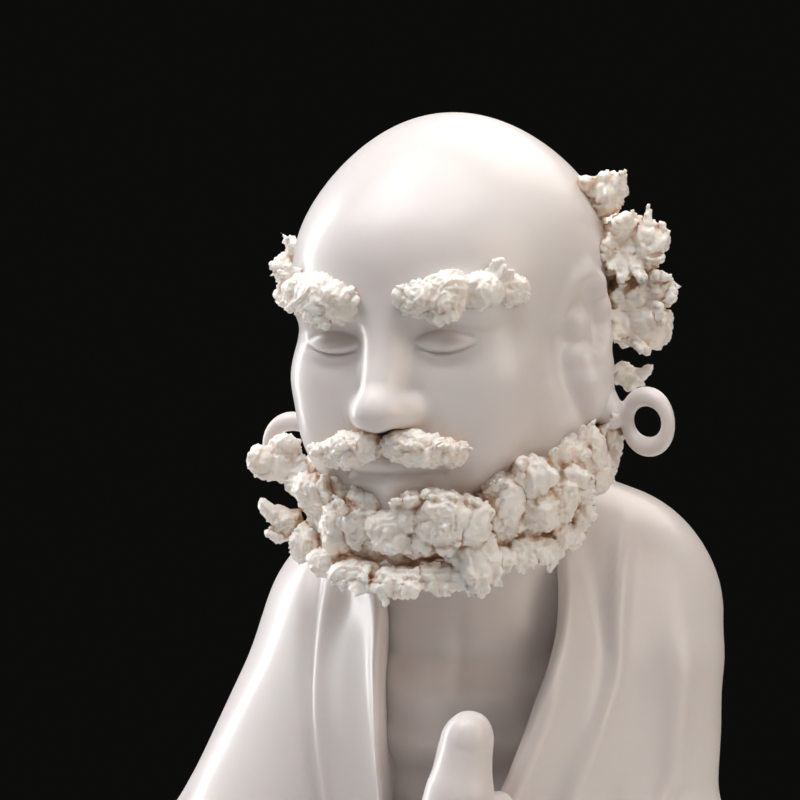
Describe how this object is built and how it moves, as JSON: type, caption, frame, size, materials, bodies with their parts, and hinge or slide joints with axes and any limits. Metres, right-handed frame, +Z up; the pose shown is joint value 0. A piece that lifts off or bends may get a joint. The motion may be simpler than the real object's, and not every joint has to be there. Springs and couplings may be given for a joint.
{
  "type": "bodhidharma statue",
  "caption": "Seated bodhidharma in white glazed porcelain, bald, eyes closed, with hoop earrings, pinched curls of hair and beard, and a draped robe, on a low oval plinth.",
  "frame": {"origin": "centre of the plinth's flat underside", "axes": "+Z up to the crown, the figure faces -Y, its left hand side is +X"},
  "size_m": [0.16, 0.116, 0.2148],
  "materials": {
    "porcelain": "clear gloss glaze on ivory white porcelain",
    "curl_paste": "thinly glazed pinched porcelain paste, waxy and less glossy"
  },
  "bodies": {
    "root": {"bodhidharma_statue": "porcelain"}
  },
  "joints": []
}
